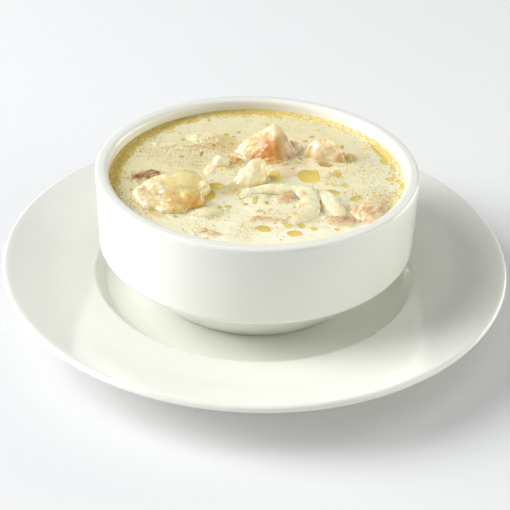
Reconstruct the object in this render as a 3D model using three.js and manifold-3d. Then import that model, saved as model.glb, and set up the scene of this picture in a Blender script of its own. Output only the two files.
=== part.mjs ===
// Bowl of trotter soup standing in the well of its saucer.
// Millimetres, +Z up. The origin is the centre of the saucer's foot ring, on the
// plane that the ring stands on. -Y is the front, +X is to the right.
import * as THREE from 'three';
import { mergeVertices } from 'three/addons/utils/BufferGeometryUtils.js';
import Module from 'manifold-3d';

const wasm = await Module();
wasm.setup();

// ---------------------------------------------------------------- driving dimensions

const SEGMENTS = 44;            // sides of each turned piece
const GAP = 0.3;                // clearance between solids that touch

const SAUCER_RADIUS = 97;       // half of the saucer's diameter
const LIP_HEIGHT = 21.2;        // top of the saucer's lip above the table
const LIP_THICK = 2.6;
const RIM_THICK = 3.2;          // thickness of the saucer's sloping rim inside its lip
const RIM_RUN = 12;             // from the saucer's edge to where its rim starts to curl up
const RIM_BELOW_LIP = 3.1;      // how far the rim's upper side lies below the lip there
const WELL_EDGE_RADIUS = 63;    // where the sloping rim drops into the well
const WELL_EDGE_HEIGHT = 12.7;
const WELL_FLOOR_RADIUS = 57.5; // where the well's steep side meets its floor
const WELL_FLOOR = 6.25;        // height of the well's floor, on which the bowl stands
const SAUCER_THICK = 3.9;
const SAUCER_FOOT_RADIUS = 56;
const SAUCER_FOOT_WIDTH = 5;

const BOWL_RADIUS = 60.3;       // outside of the straight wall
const BOWL_HEIGHT = 50.4;       // foot to lip
const BOWL_WALL = 4.9;
const LIP_ROUND_OUT = 1.4;      // rounding of the bowl's lip, outside and inside
const LIP_ROUND_IN = 2;
const BOWL_FOOT_RADIUS = 40.4;
const BOWL_FOOT_WIDTH = 4;
const BOWL_FOOT_DEPTH = 1.8;    // recess inside the foot ring
const BOWL_FLOOR_THICK = 5;
const CREASE_RISE = 20.6;       // height above the foot where the wall turns in under
const CREASE_ROUND = 3;         // rounding of that turn
const FLOOR_ROUND = 24;         // rounding between floor and wall inside
const FLOOR_FLAT = 24;          // radius of the flat of the floor inside
const FLOOR_DISH = 0.3;         // how much that flat rises from its middle
const FLOOR_TURN_FROM = -72;    // angle, in degrees, at which the rounding leaves the floor

const SOUP_BELOW_LIP = 5;
const LAID_BACK = 2.3;          // the pieces are laid out from a point this far behind the axis

// ---------------------------------------------------------------- derived heights

const LIP_TOP = WELL_FLOOR + BOWL_HEIGHT;
const SOUP_LEVEL = LIP_TOP - SOUP_BELOW_LIP;
const CREASE = WELL_FLOOR + CREASE_RISE;
const BOWL_FLOOR = WELL_FLOOR + BOWL_FOOT_DEPTH + BOWL_FLOOR_THICK;
const WALL_INSIDE = BOWL_RADIUS - BOWL_WALL;

// ---------------------------------------------------------------- materials

const finish = (color, roughness) =>
  new THREE.MeshStandardMaterial({ color, roughness, metalness: 0 });

const porcelain = finish(0xf1f2ec, 0.15);
const soupBroth = finish(0xebdfb8, 0.25);
const skin = finish(0xe6c6a2, 0.3);
const jelly = finish(0xe3cc8e, 0.15);
const sinew = finish(0xf4efdc, 0.3);
const meat = finish(0xc99a78, 0.5);
const gristle = finish(0xb9a78c, 0.35);

// ---------------------------------------------------------------- geometry helpers

const radians = THREE.MathUtils.degToRad;

// Points of an arc about (cx, cy), from one angle to another, in degrees.
function arc(cx, cy, radius, from, to, steps) {
  const points = [];
  for (let i = 0; i <= steps; i++) {
    const angle = radians(from + ((to - from) * i) / steps);
    points.push([cx + radius * Math.cos(angle), cy + radius * Math.sin(angle)]);
  }
  return points;
}

// A turned solid: the profile runs outward-facing from the axis below to the axis above.
function turned(profile) {
  const points = profile.map(([r, z]) => new THREE.Vector2(Math.max(r, 0), z));
  const geometry = new THREE.LatheGeometry(points, SEGMENTS);
  geometry.rotateX(Math.PI / 2);
  return geometry;
}

// A closed skin over rings of points, from a first pole to a last one. The rings turn
// anticlockwise as seen from the last pole.
function ringStack(firstPole, rings, lastPole) {
  const around = rings[0].length;
  const positions = [firstPole, ...rings.flat(), lastPole].flatMap((p) => [p.x, p.y, p.z]);
  const last = rings.length * around + 1;
  const at = (ring, step) => 1 + ring * around + (step % around);
  const index = [];
  for (let step = 0; step < around; step++) {
    index.push(0, at(0, step + 1), at(0, step));
    for (let ring = 0; ring + 1 < rings.length; ring++) {
      const [a, b] = [at(ring, step), at(ring, step + 1)];
      const [c, d] = [at(ring + 1, step + 1), at(ring + 1, step)];
      index.push(a, b, c, a, c, d);
    }
    index.push(last, at(rings.length - 1, step), at(rings.length - 1, step + 1));
  }
  const geometry = new THREE.BufferGeometry();
  geometry.setAttribute('position', new THREE.Float32BufferAttribute(positions, 3));
  geometry.setIndex(index);
  geometry.computeVertexNormals();
  return geometry;
}

// A smooth unevenness between -1 and 1 for a direction.
function unevenness(direction, waves, seed) {
  const { x, y, z } = direction;
  const a = Math.sin(waves * x + 1.7 * seed) * Math.sin(waves * y + 2.3 * seed + 1);
  const b = Math.sin(waves * 0.8 * (x + z) + 3.1 * seed) * Math.cos(waves * 0.9 * (y - z) + seed);
  return 0.5 * (a + b);
}

// How many rows and how many points a row the skin of a lump has.
const PLAIN_GRID = [6, 10];
const FINE_GRID = [7, 13];

// A lump in the soup: the soft meeting of flat sides. reach holds the distance of each
// side from the middle at the soup's level, anticlockwise from +X in equal steps. The
// sides lean in towards the peak: 0 is upright, 1 is straight to the peak.
function lump(spec, grow = 0) {
  const { reach, peak, depth, lean = 0.5, sharp = 5, uneven = 0.06, waves = 4, seed = 1 } = spec;
  const [peakX, peakY, peakZ] = peak;
  const sides = reach.map((distance, i) => {
    const azimuth = (2 * Math.PI * i) / reach.length;
    const outward = new THREE.Vector3(Math.cos(azimuth), Math.sin(azimuth), 0);
    const inwardRun = distance - (outward.x * peakX + outward.y * peakY);
    const tilt = Math.atan((lean * inwardRun) / peakZ);
    const normal = outward.multiplyScalar(Math.cos(tilt)).setZ(Math.sin(tilt));
    return { normal, distance: distance * Math.cos(tilt) };
  });
  sides.push({ normal: new THREE.Vector3(0, 0, 1), distance: peakZ });
  sides.push({ normal: new THREE.Vector3(0, 0, -1), distance: depth });

  const surface = (polar, azimuth) => {
    const direction = new THREE.Vector3(
      Math.sin(polar) * Math.cos(azimuth), Math.sin(polar) * Math.sin(azimuth), -Math.cos(polar),
    );
    let sum = 0;
    for (const { normal, distance } of sides) {
      sum += Math.max(0, direction.dot(normal) / distance) ** sharp;
    }
    const radius = sum ** (-1 / sharp) * (1 + uneven * unevenness(direction, waves, seed));
    return direction.multiplyScalar(radius + grow);
  };
  const [rows, around] = spec.fine ? FINE_GRID : PLAIN_GRID;
  const rings = [];
  for (let row = 1; row < rows; row++) {
    const ring = [];
    for (let step = 0; step < around; step++) {
      ring.push(surface((Math.PI * row) / rows, (2 * Math.PI * step) / around));
    }
    rings.push(ring);
  }
  return ringStack(surface(0, 0), rings, surface(Math.PI, 0));
}

// A strip lying in the soup along a curve, oval in section, with rounded ends. width
// and thick are at its middle; ends is how much of the width is left near each end.
function strip({ path, width, thick, ends = 0.6, uneven = 0.1, waves = 3, seed = 1 }, grow = 0) {
  const curve = new THREE.CatmullRomCurve3(path.map(([x, y, z]) => new THREE.Vector3(x, y, z)));
  const up = new THREE.Vector3(0, 0, 1);
  const steps = Math.max(6, Math.round(curve.getLength() / 4));
  const sectionSides = 6;
  const rings = [];
  for (let step = 0; step <= steps; step++) {
    const t = step / steps;
    const centre = curve.getPointAt(t);
    const side = new THREE.Vector3().crossVectors(up, curve.getTangentAt(t)).normalize();
    const fullness = ends + (1 - ends) * Math.sin(Math.PI * t);
    const wobble = 1 + uneven * Math.sin(waves * 2 * Math.PI * t + seed);
    const ring = [];
    for (let i = 0; i < sectionSides; i++) {
      const angle = (2 * Math.PI * i) / sectionSides;
      const across = Math.cos(angle) * ((width / 2) * fullness * wobble + grow);
      const rise = Math.sin(angle) * ((thick / 2) * fullness + grow);
      ring.push(centre.clone().addScaledVector(side, across).addScaledVector(up, rise));
    }
    rings.push(ring);
  }
  const overhang = 0.3 * thick + grow;
  const start = curve.getPointAt(0).addScaledVector(curve.getTangentAt(0), -overhang);
  const end = curve.getPointAt(1).addScaledVector(curve.getTangentAt(1), overhang);
  return ringStack(start, rings, end);
}

// Reach of an oval's diagonal sides, as a part of the hypotenuse of its half sizes.
const OVAL_CORNER = 0.68;

// Lumps grown together into one piece. Each lobe has its place from the piece's middle, and
// is oval, with half sizes and a height, or has its own reach and peak.
function cluster({ lobes, ...shared }, grow = 0) {
  const solids = lobes.map(({ at, turn = 0, half, height, ...own }, index) => {
    const spec = { ...shared, seed: 20 + index, ...own };
    if (half) {
      const [long, wide] = half;
      const corner = OVAL_CORNER * Math.hypot(long, wide);
      spec.reach = [long, corner, wide, corner, long, corner, wide, corner];
      spec.peak = [0, 0, height];
    }
    return toSolid(lump(spec, grow).rotateZ(radians(turn)).translate(...at, 0));
  });
  return toGeometry(solids.reduce((joined, lobe) => joined.add(lobe)));
}

function named(name, geometry, material) {
  const mesh = new THREE.Mesh(geometry, material);
  mesh.name = name;
  return mesh;
}

function toSolid(geometry) {
  const bare = geometry.clone();
  bare.deleteAttribute('normal');
  bare.deleteAttribute('uv');
  const merged = mergeVertices(bare, 1e-4);
  return new wasm.Manifold(new wasm.Mesh({
    numProp: 3,
    vertProperties: new Float32Array(merged.attributes.position.array),
    triVerts: new Uint32Array(merged.index.array),
  }));
}

// The largest whole piece of a solid, as a geometry.
function toGeometry(solid) {
  const pieces = solid.decompose();
  const largest = pieces.reduce((best, piece) => (piece.volume() > best.volume() ? piece : best));
  const mesh = largest.getMesh();
  const geometry = new THREE.BufferGeometry();
  geometry.setAttribute('position', new THREE.Float32BufferAttribute(mesh.vertProperties, 3));
  geometry.setIndex([...mesh.triVerts]);
  geometry.computeVertexNormals();
  return geometry;
}

// ---------------------------------------------------------------- saucer and bowl

function saucerGeometry() {
  const ringInside = SAUCER_FOOT_RADIUS - SAUCER_FOOT_WIDTH;
  const underFloor = WELL_FLOOR - SAUCER_THICK;
  const lipMiddle = LIP_HEIGHT - LIP_THICK / 2;
  const lip = arc(SAUCER_RADIUS - LIP_THICK / 2, lipMiddle, LIP_THICK / 2, -50, 100, 3);
  const rimRadius = SAUCER_RADIUS - RIM_RUN;
  const rimTop = LIP_HEIGHT - RIM_BELOW_LIP;
  return turned([
    [0, underFloor],
    [ringInside - 1, underFloor],
    [ringInside + 0.4, 0],
    [SAUCER_FOOT_RADIUS - 0.6, 0],
    [SAUCER_FOOT_RADIUS + 0.8, underFloor + 0.6],
    [WELL_EDGE_RADIUS + 3, WELL_EDGE_HEIGHT - SAUCER_THICK],
    [rimRadius, rimTop - RIM_THICK],
    ...lip,
    [rimRadius, rimTop],
    [WELL_EDGE_RADIUS + 14, WELL_EDGE_HEIGHT + 2.9],
    [WELL_EDGE_RADIUS + 2, WELL_EDGE_HEIGHT],
    [WELL_EDGE_RADIUS - 0.8, WELL_EDGE_HEIGHT - 0.9],
    [WELL_FLOOR_RADIUS + 1.4, WELL_FLOOR + 1.6],
    [WELL_FLOOR_RADIUS - 1.6, WELL_FLOOR + 0.6],
    [WELL_FLOOR_RADIUS - 8, WELL_FLOOR],
    [0, WELL_FLOOR],
  ]);
}

// The bowl's inside surface, moved inwards by inset, from the floor's middle out to where
// the straight wall begins.
function bowlInside(inset) {
  const centre = [WALL_INSIDE - FLOOR_ROUND, BOWL_FLOOR + FLOOR_ROUND];
  const floorTurn = arc(...centre, FLOOR_ROUND - inset, FLOOR_TURN_FROM, 0, 4);
  const floor = BOWL_FLOOR + inset;
  return [[0, floor], [FLOOR_FLAT, floor + FLOOR_DISH], ...floorTurn];
}

function bowlGeometry() {
  const footInside = BOWL_FOOT_RADIUS - BOWL_FOOT_WIDTH;
  const foot = [
    [0, WELL_FLOOR + BOWL_FOOT_DEPTH],
    [footInside - 1, WELL_FLOOR + BOWL_FOOT_DEPTH],
    [footInside + 0.5, WELL_FLOOR],
    [BOWL_FOOT_RADIUS - 0.6, WELL_FLOOR],
    [BOWL_FOOT_RADIUS + 0.3, WELL_FLOOR + 1],
  ];
  const turnCentre = [BOWL_RADIUS - CREASE_ROUND, CREASE + 0.4 * CREASE_ROUND];
  const crease = arc(...turnCentre, CREASE_ROUND, -44, 0, 3);
  const lip = [
    ...arc(BOWL_RADIUS - LIP_ROUND_OUT, LIP_TOP - LIP_ROUND_OUT, LIP_ROUND_OUT, 0, 90, 3),
    ...arc(WALL_INSIDE + LIP_ROUND_IN, LIP_TOP - LIP_ROUND_IN, LIP_ROUND_IN, 90, 180, 3),
  ];
  return turned([...foot, ...crease, ...lip, ...bowlInside(0).reverse()]);
}

// ---------------------------------------------------------------- pieces in the soup

// Each piece: its place on the soup, its turn in degrees, its form and its finish.
const PIECES = {
  jelly_cluster: {
    at: [-30, -20], material: jelly, form: cluster,
    spec: {
      lobes: [
        { at: [0.6, 5.2], half: [8.2, 8], height: 9 },
        { at: [-9, 0], half: [5.8, 7.4], height: 7 },
        { at: [8.6, 3.4], half: [5.4, 7], height: 6.4 },
        { at: [-3.6, -6.8], half: [9, 6.4], height: 5.4 },
        { at: [6.2, -5.4], half: [7, 5.6], height: 4.8 },
      ],
      depth: 5, lean: 0.4, sharp: 4, uneven: 0.05,
    },
  },
  trotter_wedge: {
    at: [2.6, 13.4], material: skin, form: cluster,
    spec: {
      lobes: [
        { at: [0, 0], reach: [9, 8.6, 9.4, 7.4, 8], peak: [3.2, 3.4, 17], lean: 0.9, seed: 2 },
        { at: [-5.4, 1.4], turn: 22, half: [6.6, 4.8], height: 7.4, lean: 0.7 },
        { at: [6, -1.6], half: [4.6, 6], height: 6.6, lean: 0.6 },
      ],
      depth: 6, sharp: 12, uneven: 0.03,
    },
  },
  trotter_knuckle: {
    at: [24.4, 12.8], material: skin, form: lump,
    spec: {
      reach: [6.2, 6, 5.8, 7, 8.4, 6.8, 5.6, 6.2], peak: [0.6, 1, 8.2],
      depth: 5, lean: 0.5, uneven: 0.14, waves: 6, seed: 5, fine: true,
    },
  },
  grey_gristle: {
    at: [14.4, 15.2], turn: 80, material: gristle, form: lump,
    spec: { reach: [6.4, 4.8, 3.4, 4.6, 6, 4.4, 3.2, 4.4], peak: [0, 0, 3], depth: 4, seed: 7 },
  },
  white_lump: {
    at: [-2.8, -5.2], material: sinew, form: lump,
    spec: {
      reach: [6, 6, 7.4, 7, 7.2, 6.4], peak: [2, 2.4, 9],
      depth: 4.5, lean: 0.8, sharp: 8, uneven: 0.05, waves: 5, seed: 3, fine: true,
    },
  },
  small_white_lump: {
    at: [-13.9, 3.4], material: sinew, form: lump,
    spec: { reach: [2.9, 4.4, 3.2, 3.2, 4, 3.2], peak: [0.4, 1.4, 6.2], depth: 3, lean: 0.7, seed: 4 },
  },
  orange_morsel: {
    at: [-8.6, 6.6], turn: -32, material: meat, form: lump,
    spec: { reach: [4.8, 3.4, 3, 4.8, 3.4, 3], peak: [0, 0, 2.4], depth: 2.4, seed: 6 },
  },
  brown_morsel: {
    at: [-42.4, -7.2], turn: 31, material: meat, form: lump,
    spec: {
      reach: [7.4, 5, 3.6, 4.8, 7.4, 4.8, 3.6, 5], peak: [0, 0, 2.2],
      depth: 2.6, uneven: 0.1, seed: 8,
    },
  },
  cream_lump: {
    at: [-19.8, 24.6], turn: 4, material: skin, form: lump,
    spec: { reach: [6.6, 5.4, 4.4, 5.6, 7, 5.6, 4, 5.2], peak: [1, 0, 2.4], depth: 3, seed: 9 },
  },
  tendon_strip: {
    at: [-24.4, 15.6], material: meat, form: strip,
    spec: {
      path: [[-10, -2.4, -0.6], [-4, 0.2, -0.3], [3, 0.8, -0.2], [9.4, -0.6, -0.5]],
      width: 5, thick: 3.6, seed: 2,
    },
  },
  skin_strip: {
    at: [-40, 17], material: sinew, form: strip,
    spec: { path: [[-3.4, 5.4, -0.5], [0, 1.4, 0], [4.2, -1.8, -0.4]], width: 4, thick: 3, seed: 3 },
  },
  fold_arch: {
    at: [8, -22], material: sinew, form: strip,
    spec: {
      path: [
        [-11.6, 3, -0.8], [-8, 5.8, 0], [-3, 7, 0.3], [2.5, 7.8, 0.4], [8, 7.4, 0.5], [11, 4.8, 0.5],
        [11.8, 0, 0.3], [11.4, -5.5, 0.1], [9, -10.8, -0.1], [5, -14, -0.5],
      ],
      width: 5.6, thick: 4.8, ends: 0.5, waves: 4, seed: 1,
    },
  },
  fold_meat: {
    at: [10.8, -20.6], turn: 31, material: meat, form: lump,
    spec: { reach: [5.6, 4, 2.4, 4, 5.4, 4, 2.4, 4], peak: [0, 0, 2], depth: 3, uneven: 0.1, seed: 10 },
  },
  white_sinew: {
    at: [27.6, -22.4], material: sinew, form: strip,
    spec: {
      path: [[-4.2, 5.4, -0.4], [-2.2, 0.8, 0.3], [0, -4, 0.4], [1.8, -8.2, -0.6]],
      width: 6.4, thick: 4.8, ends: 0.5, seed: 4,
    },
  },
  fibrous_meat: {
    at: [40.4, -26.6], turn: 52, material: meat, form: lump,
    spec: {
      reach: [11, 7.2, 5.6, 7, 10.4, 7.2, 6, 7.4], peak: [-2, 0, 3.8],
      depth: 4, uneven: 0.1, waves: 5, seed: 11,
    },
  },
  lower_shreds: {
    at: [29.6, -35.4], material: meat, form: strip,
    spec: { path: [[-4.2, 1.8, -0.5], [0, 0.2, -0.1], [4, 0.4, -0.5]], width: 4.2, thick: 3, seed: 5 },
  },
  pink_strip: {
    at: [4, -36], material: meat, form: strip,
    spec: {
      path: [[-5.8, -1.2, -0.5], [-2, 1, 0], [2.4, 0.2, -0.1], [6, 0.8, -0.5]],
      width: 3, thick: 2.6, seed: 6,
    },
  },
  pale_fat: {
    at: [-15.8, -31.6], turn: 6, material: sinew, form: lump,
    spec: { reach: [8, 5.2, 3.6, 5, 7.4, 5, 3.4, 5], peak: [0, 0, 1.8], depth: 2.6, uneven: 0.1, seed: 12 },
  },
  edge_meat: {
    at: [-18.6, -44], turn: -20, material: meat, form: lump,
    spec: { reach: [7, 4, 2.4, 4, 7, 4, 2.4, 4], peak: [0, 0, 1.2], depth: 2.4, seed: 13 },
  },
};

// How much a piece is grown before it is cut out of its neighbours. A lump's sides move by
// less than this where they lean, so it is more than the gap itself.
const CLEARANCE = 1.2 * GAP;

// Builds a piece at the soup's level and keeps it clear of the pieces made before it.
// taken holds the grown solids of those pieces.
function pieceMesh(name, { at, turn = 0, material, form, spec }, taken) {
  const place = new THREE.Object3D();
  place.position.set(at[0], at[1] + LAID_BACK, 0);
  place.rotation.z = radians(turn);
  place.updateMatrix();
  let solid = toSolid(form(spec).applyMatrix4(place.matrix));
  for (const neighbour of taken) solid = solid.subtract(neighbour);
  taken.push(toSolid(form(spec, CLEARANCE).applyMatrix4(place.matrix)));
  const geometry = toGeometry(solid).applyMatrix4(place.matrix.clone().invert());
  const mesh = named(name, geometry, material);
  mesh.position.copy(place.position);
  mesh.rotation.copy(place.rotation);
  return mesh;
}

// The soup fills the bowl up to its level and leaves room for each piece.
function brothGeometry(taken) {
  const bottom = bowlInside(GAP);
  const rim = [WALL_INSIDE - GAP, 0];
  const profile = [...bottom.map(([r, z]) => [r, z - SOUP_LEVEL]), rim, [0, 0]];
  let solid = toSolid(turned(profile));
  for (const piece of taken) solid = solid.subtract(piece);
  return toGeometry(solid);
}

// ---------------------------------------------------------------- scene

const dish = new THREE.Group();
dish.add(named('saucer', saucerGeometry(), porcelain));
dish.add(named('bowl', bowlGeometry(), porcelain));

// Everything in the bowl is placed from the middle of the soup's surface.
const soup = new THREE.Group();
soup.position.z = SOUP_LEVEL;
const taken = [];
for (const [name, piece] of Object.entries(PIECES)) soup.add(pieceMesh(name, piece, taken));
soup.add(named('broth', brothGeometry(taken), soupBroth));
dish.add(soup);

export default dish;
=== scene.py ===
"""The looks of a bowl of trotter soup on its saucer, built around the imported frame.

Laid out as an add-on: sizes and colours are properties, each piece or group of like
pieces is an operator, and main() runs the operators in order. Metres, +Z up, -Y front.
"""
import math
import random

import bmesh
import bpy
from mathutils import Matrix, Vector, noise
from mathutils.bvhtree import BVHTree


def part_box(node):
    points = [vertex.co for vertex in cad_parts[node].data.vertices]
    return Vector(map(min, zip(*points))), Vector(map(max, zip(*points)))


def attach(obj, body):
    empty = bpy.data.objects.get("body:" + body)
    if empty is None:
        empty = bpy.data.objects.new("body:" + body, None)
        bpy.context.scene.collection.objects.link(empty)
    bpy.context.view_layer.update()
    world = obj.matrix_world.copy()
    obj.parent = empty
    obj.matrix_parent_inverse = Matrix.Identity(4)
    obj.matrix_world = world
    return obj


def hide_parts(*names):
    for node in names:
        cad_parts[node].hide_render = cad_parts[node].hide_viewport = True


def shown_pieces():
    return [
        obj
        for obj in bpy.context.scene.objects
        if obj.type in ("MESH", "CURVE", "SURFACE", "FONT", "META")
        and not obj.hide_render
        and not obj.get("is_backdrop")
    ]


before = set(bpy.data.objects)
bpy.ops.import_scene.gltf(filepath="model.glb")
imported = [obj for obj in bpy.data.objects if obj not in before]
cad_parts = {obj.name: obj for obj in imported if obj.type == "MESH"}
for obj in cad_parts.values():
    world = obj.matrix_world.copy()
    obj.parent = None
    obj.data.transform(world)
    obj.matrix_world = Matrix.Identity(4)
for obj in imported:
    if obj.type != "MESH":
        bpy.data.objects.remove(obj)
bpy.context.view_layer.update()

bl_info = {
    "name": "Trotter Soup",
    "version": (1, 0, 0),
    "blender": (4, 5, 0),
    "location": "View3D > Sidebar > Soup",
    "description": "Bowl of creamy trotter soup with oil drops, skin, jelly and meat",
    "category": "Add Mesh",
}

MM = 0.001
BODY = "root"
SOUP_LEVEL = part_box("broth")[1].z
BOWL_LOW, BOWL_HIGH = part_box("bowl")
SAUCER_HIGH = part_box("saucer")[1]
# The point of the soup's surface, behind its middle, from which its pieces are laid out.
LAYOUT = Vector((0, 2.3 * MM, 0))
DOWN = Vector((0, 0, -1))
TINY = 0.001 * MM            # lengths below this count as none
SKIN_GRAIN = 0.45 * MM       # size of the cells of which a piece's skin is first made
FLAT_FLOOR = 24 * MM         # radius of the flat middle of the bowl's floor
FLOOR_RISE = 0.3 * MM        # how far the floor has risen there
FLOOR_TURN = -72             # where the rounding between floor and wall starts, in degrees
DISH_SEGMENTS = 192          # round the bowl and the saucer
SOUP_SEGMENTS = 480          # round the soup
SOUP_RINGS = 150             # across the soup's surface


def srgb(red, olive_and_painted_shade, blue):
    """A colour as seen on screen, 0 to 255, as the linear colour that a material holds."""
    def linear(value):
        value /= 255
        return value / 12.92 if value <= 0.04045 else ((value + 0.055) / 1.055) ** 2.4
    return linear(red), linear(olive_and_painted_shade), linear(blue)


def colour_property(name, description, colour):
    return bpy.props.FloatVectorProperty(
        name=name, description=description, default=colour, subtype="COLOR", size=3, min=0, max=1)


def length_property(name, description, millimetres):
    return bpy.props.FloatProperty(
        name=name, description=description, default=millimetres * MM, unit="LENGTH",
        subtype="DISTANCE", min=0, precision=5)


# ------------------------------------------------------------------ properties

class DishSettings(bpy.types.PropertyGroup):
    """Sizes and glaze of the bowl and its saucer."""
    wall: length_property("Wall", "Thickness of the bowl's wall", 4.9)
    lip_outside: length_property("Lip outside", "Rounding of the lip's outer edge", 1.4)
    lip_inside: length_property("Lip inside", "Rounding of the lip's inner edge", 2)
    foot_radius: length_property("Foot", "Outer radius of the bowl's foot ring", 40.4)
    foot_width: length_property("Foot width", "Width of the bowl's foot ring", 4)
    foot_depth: length_property("Foot depth", "Recess inside the bowl's foot ring", 1.8)
    floor: length_property("Floor", "Thickness of the bowl's floor", 5)
    crease_rise: length_property("Turn", "Height above the foot where the wall turns in", 20.6)
    crease_round: length_property("Turn rounding", "Rounding of that turn", 3)
    floor_round: length_property("Inside rounding", "Rounding between floor and wall inside", 24)
    well_edge: length_property("Well", "Radius of the saucer's well at its upper edge", 63)
    well_edge_height: length_property("Well edge height", "Height of that edge", 12.7)
    well_floor: length_property("Well floor", "Radius where the well's side meets its floor", 57.5)
    saucer_foot: length_property("Saucer foot", "Outer radius of the saucer's foot ring", 56)
    saucer_foot_width: length_property("Saucer foot width", "Width of that ring", 5)
    saucer_thick: length_property("Saucer thickness", "Thickness of the saucer", 3.9)
    saucer_lip: length_property("Saucer lip", "Thickness of the saucer's lip", 2.6)
    rim_run: length_property("Rim run", "From the saucer's edge to where its rim curls up", 12)
    rim_below_lip: length_property("Rim below lip", "How far the rim lies below the lip there", 3.1)
    rim_thick: length_property("Rim thickness", "Thickness of the saucer's rim there", 3.2)
    glaze: colour_property("Glaze", "White of the porcelain", (0.885, 0.89, 0.822))


class SoupSettings(bpy.types.PropertyGroup):
    """Colours of the soup and its oil, and how many drops float on it."""
    cream: colour_property("Cream", "Pale soup", srgb(255, 250, 223))
    deep: colour_property("Deep", "Soup between the pieces", srgb(251, 241, 199))
    olive: colour_property("Olive", "Dark oil along the wall", srgb(216, 187, 84))
    yellow: colour_property("Yellow", "Pale yellow oil", srgb(242, 214, 114))
    gold: colour_property("Gold", "Golden oil", srgb(230, 206, 114))
    amber: colour_property("Amber", "Oil coloured by the meat", srgb(230, 192, 84))
    brown: colour_property("Brown", "Darkest oil and specks", srgb(194, 156, 86))
    meniscus: length_property("Meniscus", "How far the soup climbs its wall", 0.7)
    wall_drops: bpy.props.IntProperty(
        name="Wall drops", description="Oil drops along the wall", default=1100, min=0)
    loose_drops: bpy.props.IntProperty(
        name="Loose drops", description="Oil drops spread over the soup", default=560, min=0)
    froth_drops: bpy.props.IntProperty(
        name="Froth", description="Fine bubbles in the frothy places", default=1800, min=0)


class StageSettings(bpy.types.PropertyGroup):
    """The view and its light."""
    distance: length_property("Distance", "From the camera to the point it looks at", 412.9)
    elevation: bpy.props.FloatProperty(
        name="Elevation", description="Camera above the horizon", default=math.radians(33.1),
        subtype="ANGLE")
    roll: bpy.props.FloatProperty(
        name="Roll", description="Tilt of the camera about its view", default=math.radians(1.76),
        subtype="ANGLE")
    lens: bpy.props.FloatProperty(
        name="Lens", description="Focal length on a 36 mm sensor", default=73.85)
    drop: length_property("Look below lip", "Looked-at point below the saucer's lip", 5.7)
    floor: colour_property("Floor", "Pale tabletop", (0.82, 0.82, 0.83))
    lamp_reach: length_property("Lamp distance", "From the dish to each softbox", 2200)
    lamp_size: length_property("Lamp size", "Width of a softbox", 1400)
    power: bpy.props.FloatProperty(
        name="Power", description="Power of all the softboxes together", default=128, unit="POWER")
    ambient: bpy.props.FloatProperty(
        name="Ambient", description="Strength of the even light all round", default=0.125, min=0)


# ------------------------------------------------------------------ shader maths

class Value:
    """A socket of a material, with the arithmetic that its shading needs."""

    def __init__(self, finish, socket):
        self.finish = finish
        self.socket = socket

    def _math(self, operation, other):
        return self.finish.node("ShaderNodeMath", {"operation": operation}, {0: self, 1: other})

    def __add__(self, other):
        return self._math("ADD", other)

    def __mul__(self, other):
        return self._math("MULTIPLY", other)

    __radd__ = __add__
    __rmul__ = __mul__


class Finish:
    """A procedural material on one Principled shader."""

    def __init__(self, name, **constants):
        self.material = bpy.data.materials.new(name)
        self.material.use_nodes = True
        self.tree = self.material.node_tree
        self.shader = self.tree.nodes["Principled BSDF"]
        for label, value in constants.items():
            self._socket(label).default_value = value

    def _socket(self, label):
        return self.shader.inputs[label.replace("_", " ").title().replace("Ior", "IOR")]

    def node(self, kind, settings=None, sockets=None, output=0):
        """Adds a node: its settings first, then its sockets' values or links."""
        made = self.tree.nodes.new(kind)
        for key, value in (settings or {}).items():
            setattr(made, key, value)
        for key, value in (sockets or {}).items():
            self.feed(made.inputs[key], value)
        return Value(self, made.outputs[output])

    def feed(self, socket, value):
        if isinstance(value, Value):
            self.tree.links.new(value.socket, socket)
        elif hasattr(value, "__len__") and len(value) == 3 and socket.type == "RGBA":
            socket.default_value = (*value, 1)
        else:
            socket.default_value = value

    def set(self, **sockets):
        for label, value in sockets.items():
            self.feed(self._socket(label), value)

    def place(self):
        return self.node("ShaderNodeTexCoord", {}, {}, "Object")

    def noise(self, scale, detail=3, roughness=0.5):
        """Fractal noise, 0 to 1, with scale features a metre."""
        return self.node("ShaderNodeTexNoise", {}, {
            "Vector": self.place(), "Scale": scale, "Detail": detail, "Roughness": roughness})

    def cells(self, scale, output="Distance"):
        return self.node("ShaderNodeTexVoronoi", {}, {"Vector": self.place(), "Scale": scale}, output)

    def step(self, value, low, high):
        """0 below low, 1 above high, smooth between."""
        return self.node("ShaderNodeMapRange", {"interpolation_type": "SMOOTHSTEP"}, {
            "Value": value, "From Min": low, "From Max": high})

    def blend(self, factor, first, second, kind="MIX"):
        """The first colour turned into the second, or coloured by it where kind is MULTIPLY."""
        return self.node("ShaderNodeMix", {"data_type": "RGBA", "blend_type": kind}, {
            0: factor, 6: first, 7: second}, 2)

    def tint(self):
        """The colour that the piece's own making painted on it."""
        return self.node("ShaderNodeAttribute", {"attribute_name": "tint"}, {}, "Color")

    def relief(self, height, strength=0.8):
        """A bump from a height given in millimetres."""
        return self.node("ShaderNodeBump", {}, {
            "Height": height, "Distance": MM, "Strength": strength})


# ------------------------------------------------------------------ finishes

def glaze_finish(name, colour):
    """White porcelain glaze: glossy, faintly wavy, with a rare pinhole."""
    finish = Finish(name, specular_ior_level=0.5, coat_roughness=0.04)
    drift = finish.noise(18, 2)
    colours = finish.blend(drift, colour, tuple(0.97 * c for c in colour))
    pinholes = finish.step(finish.cells(140), 0.05, 0.03)
    chosen = finish.step(finish.cells(140, "Color"), 0.86, 0.9)
    finish.set(
        base_color=finish.blend(pinholes * chosen * 0.5, colours, srgb(120, 112, 92)),
        roughness=0.10 + 0.07 * finish.noise(60, 3),
        coat_weight=0.3 + 0.1 * drift,
        normal=finish.relief(0.06 * finish.noise(45, 2), 0.5),
    )
    return finish.material


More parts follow.
